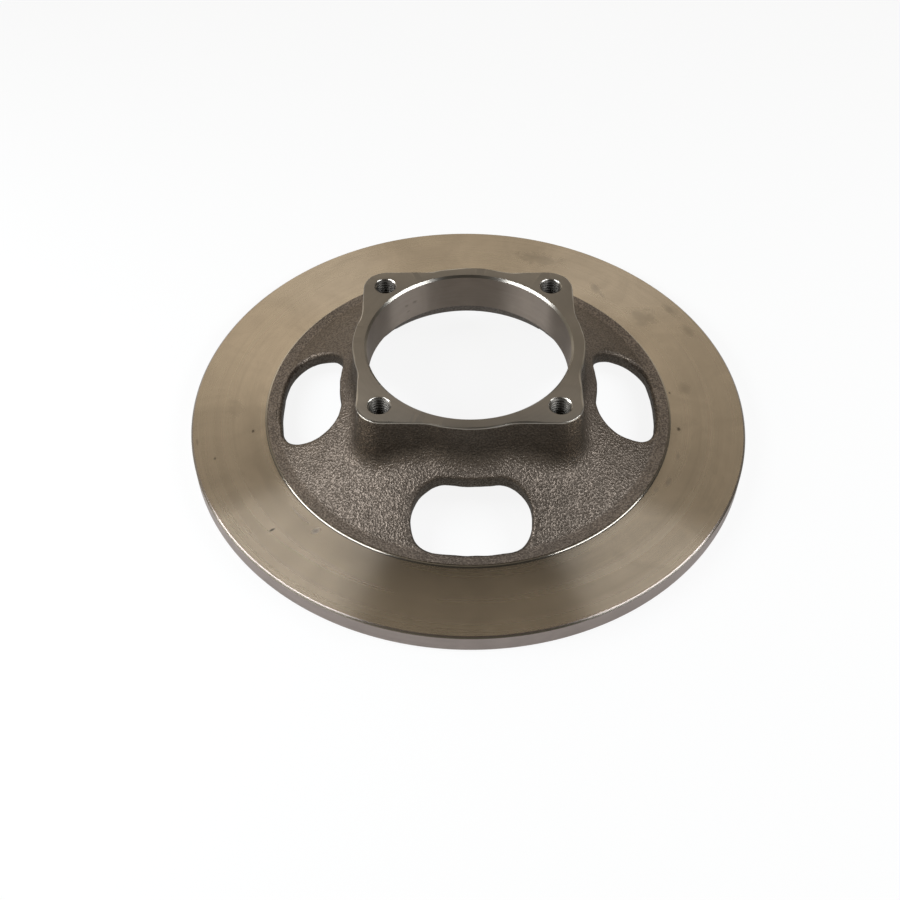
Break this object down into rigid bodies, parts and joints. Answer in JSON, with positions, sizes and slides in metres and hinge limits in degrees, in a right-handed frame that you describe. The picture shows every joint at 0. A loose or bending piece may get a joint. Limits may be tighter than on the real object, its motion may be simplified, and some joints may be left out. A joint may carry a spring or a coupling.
{
  "type": "brake disc",
  "caption": "Solid cast brake disc: flat friction ring, conical web with cored windows, and a raised square hub with a machined bore and threaded corner holes.",
  "frame": {"origin": "on the bore's axis, in the plane of the lower friction face", "axes": "+Z along the bore's axis, out of the hub's face; +X and +Y square to the hub's flats, +Y away from the camera"},
  "size_m": [0.26, 0.26, 0.0496],
  "materials": {
    "iron": "dull speckled casting, with the ring, hub face and bore machined bright"
  },
  "bodies": {
    "root": {"brake_disc": "iron"}
  },
  "joints": []
}
